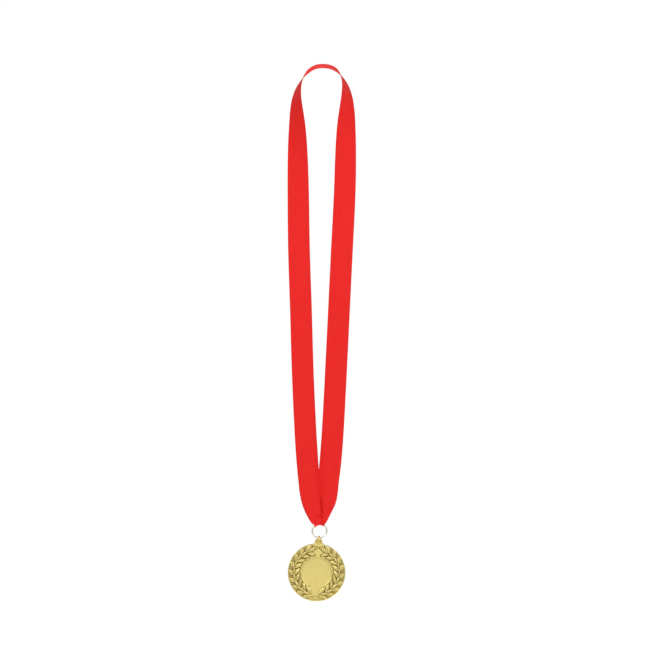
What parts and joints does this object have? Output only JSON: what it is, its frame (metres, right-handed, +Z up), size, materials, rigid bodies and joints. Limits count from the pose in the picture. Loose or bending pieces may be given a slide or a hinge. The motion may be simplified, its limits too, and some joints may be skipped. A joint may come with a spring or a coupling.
{
  "type": "award medal",
  "caption": "Round gilt medal with a laurel wreath and a plain sunk centre, hung by a wire ring from a red woven neck ribbon.",
  "frame": {"origin": "underside of the ribbon's arch at the top of the loop, straight above the medal's eye", "axes": "+Z up the hanging ribbon, -Y out of the medal's face, +X to the right as the face is seen"},
  "size_m": [0.0598, 0.019, 0.4658],
  "materials": {
    "gilt": "gold-plated casting, satin centre, polished leaves over darker ground",
    "ring_wire": "pale gold-plated wire, polished",
    "ribbon_weave": "red woven polyester with a fine cross rib and firm edges",
    "thread": "red sewing thread"
  },
  "bodies": {
    "ribbon": {"ribbon": "ribbon_weave", "stitching": "thread"},
    "ring": {"jump_ring": "ring_wire"},
    "medal": {"medal": "gilt"}
  },
  "joints": [
    {"name": "ring_swing", "type": "hinge", "parent": "ribbon", "child": "ring", "pos_m": [0.00089, 0, -0.3975], "axis": [0.9976, 0, -0.0698], "range_deg": [-75, 75]},
    {"name": "medal_swing", "type": "hinge", "parent": "ring", "child": "medal", "pos_m": [0, 0, -0.41017], "axis": [0.9976, 0, -0.0698], "range_deg": [-90, 90]}
  ]
}
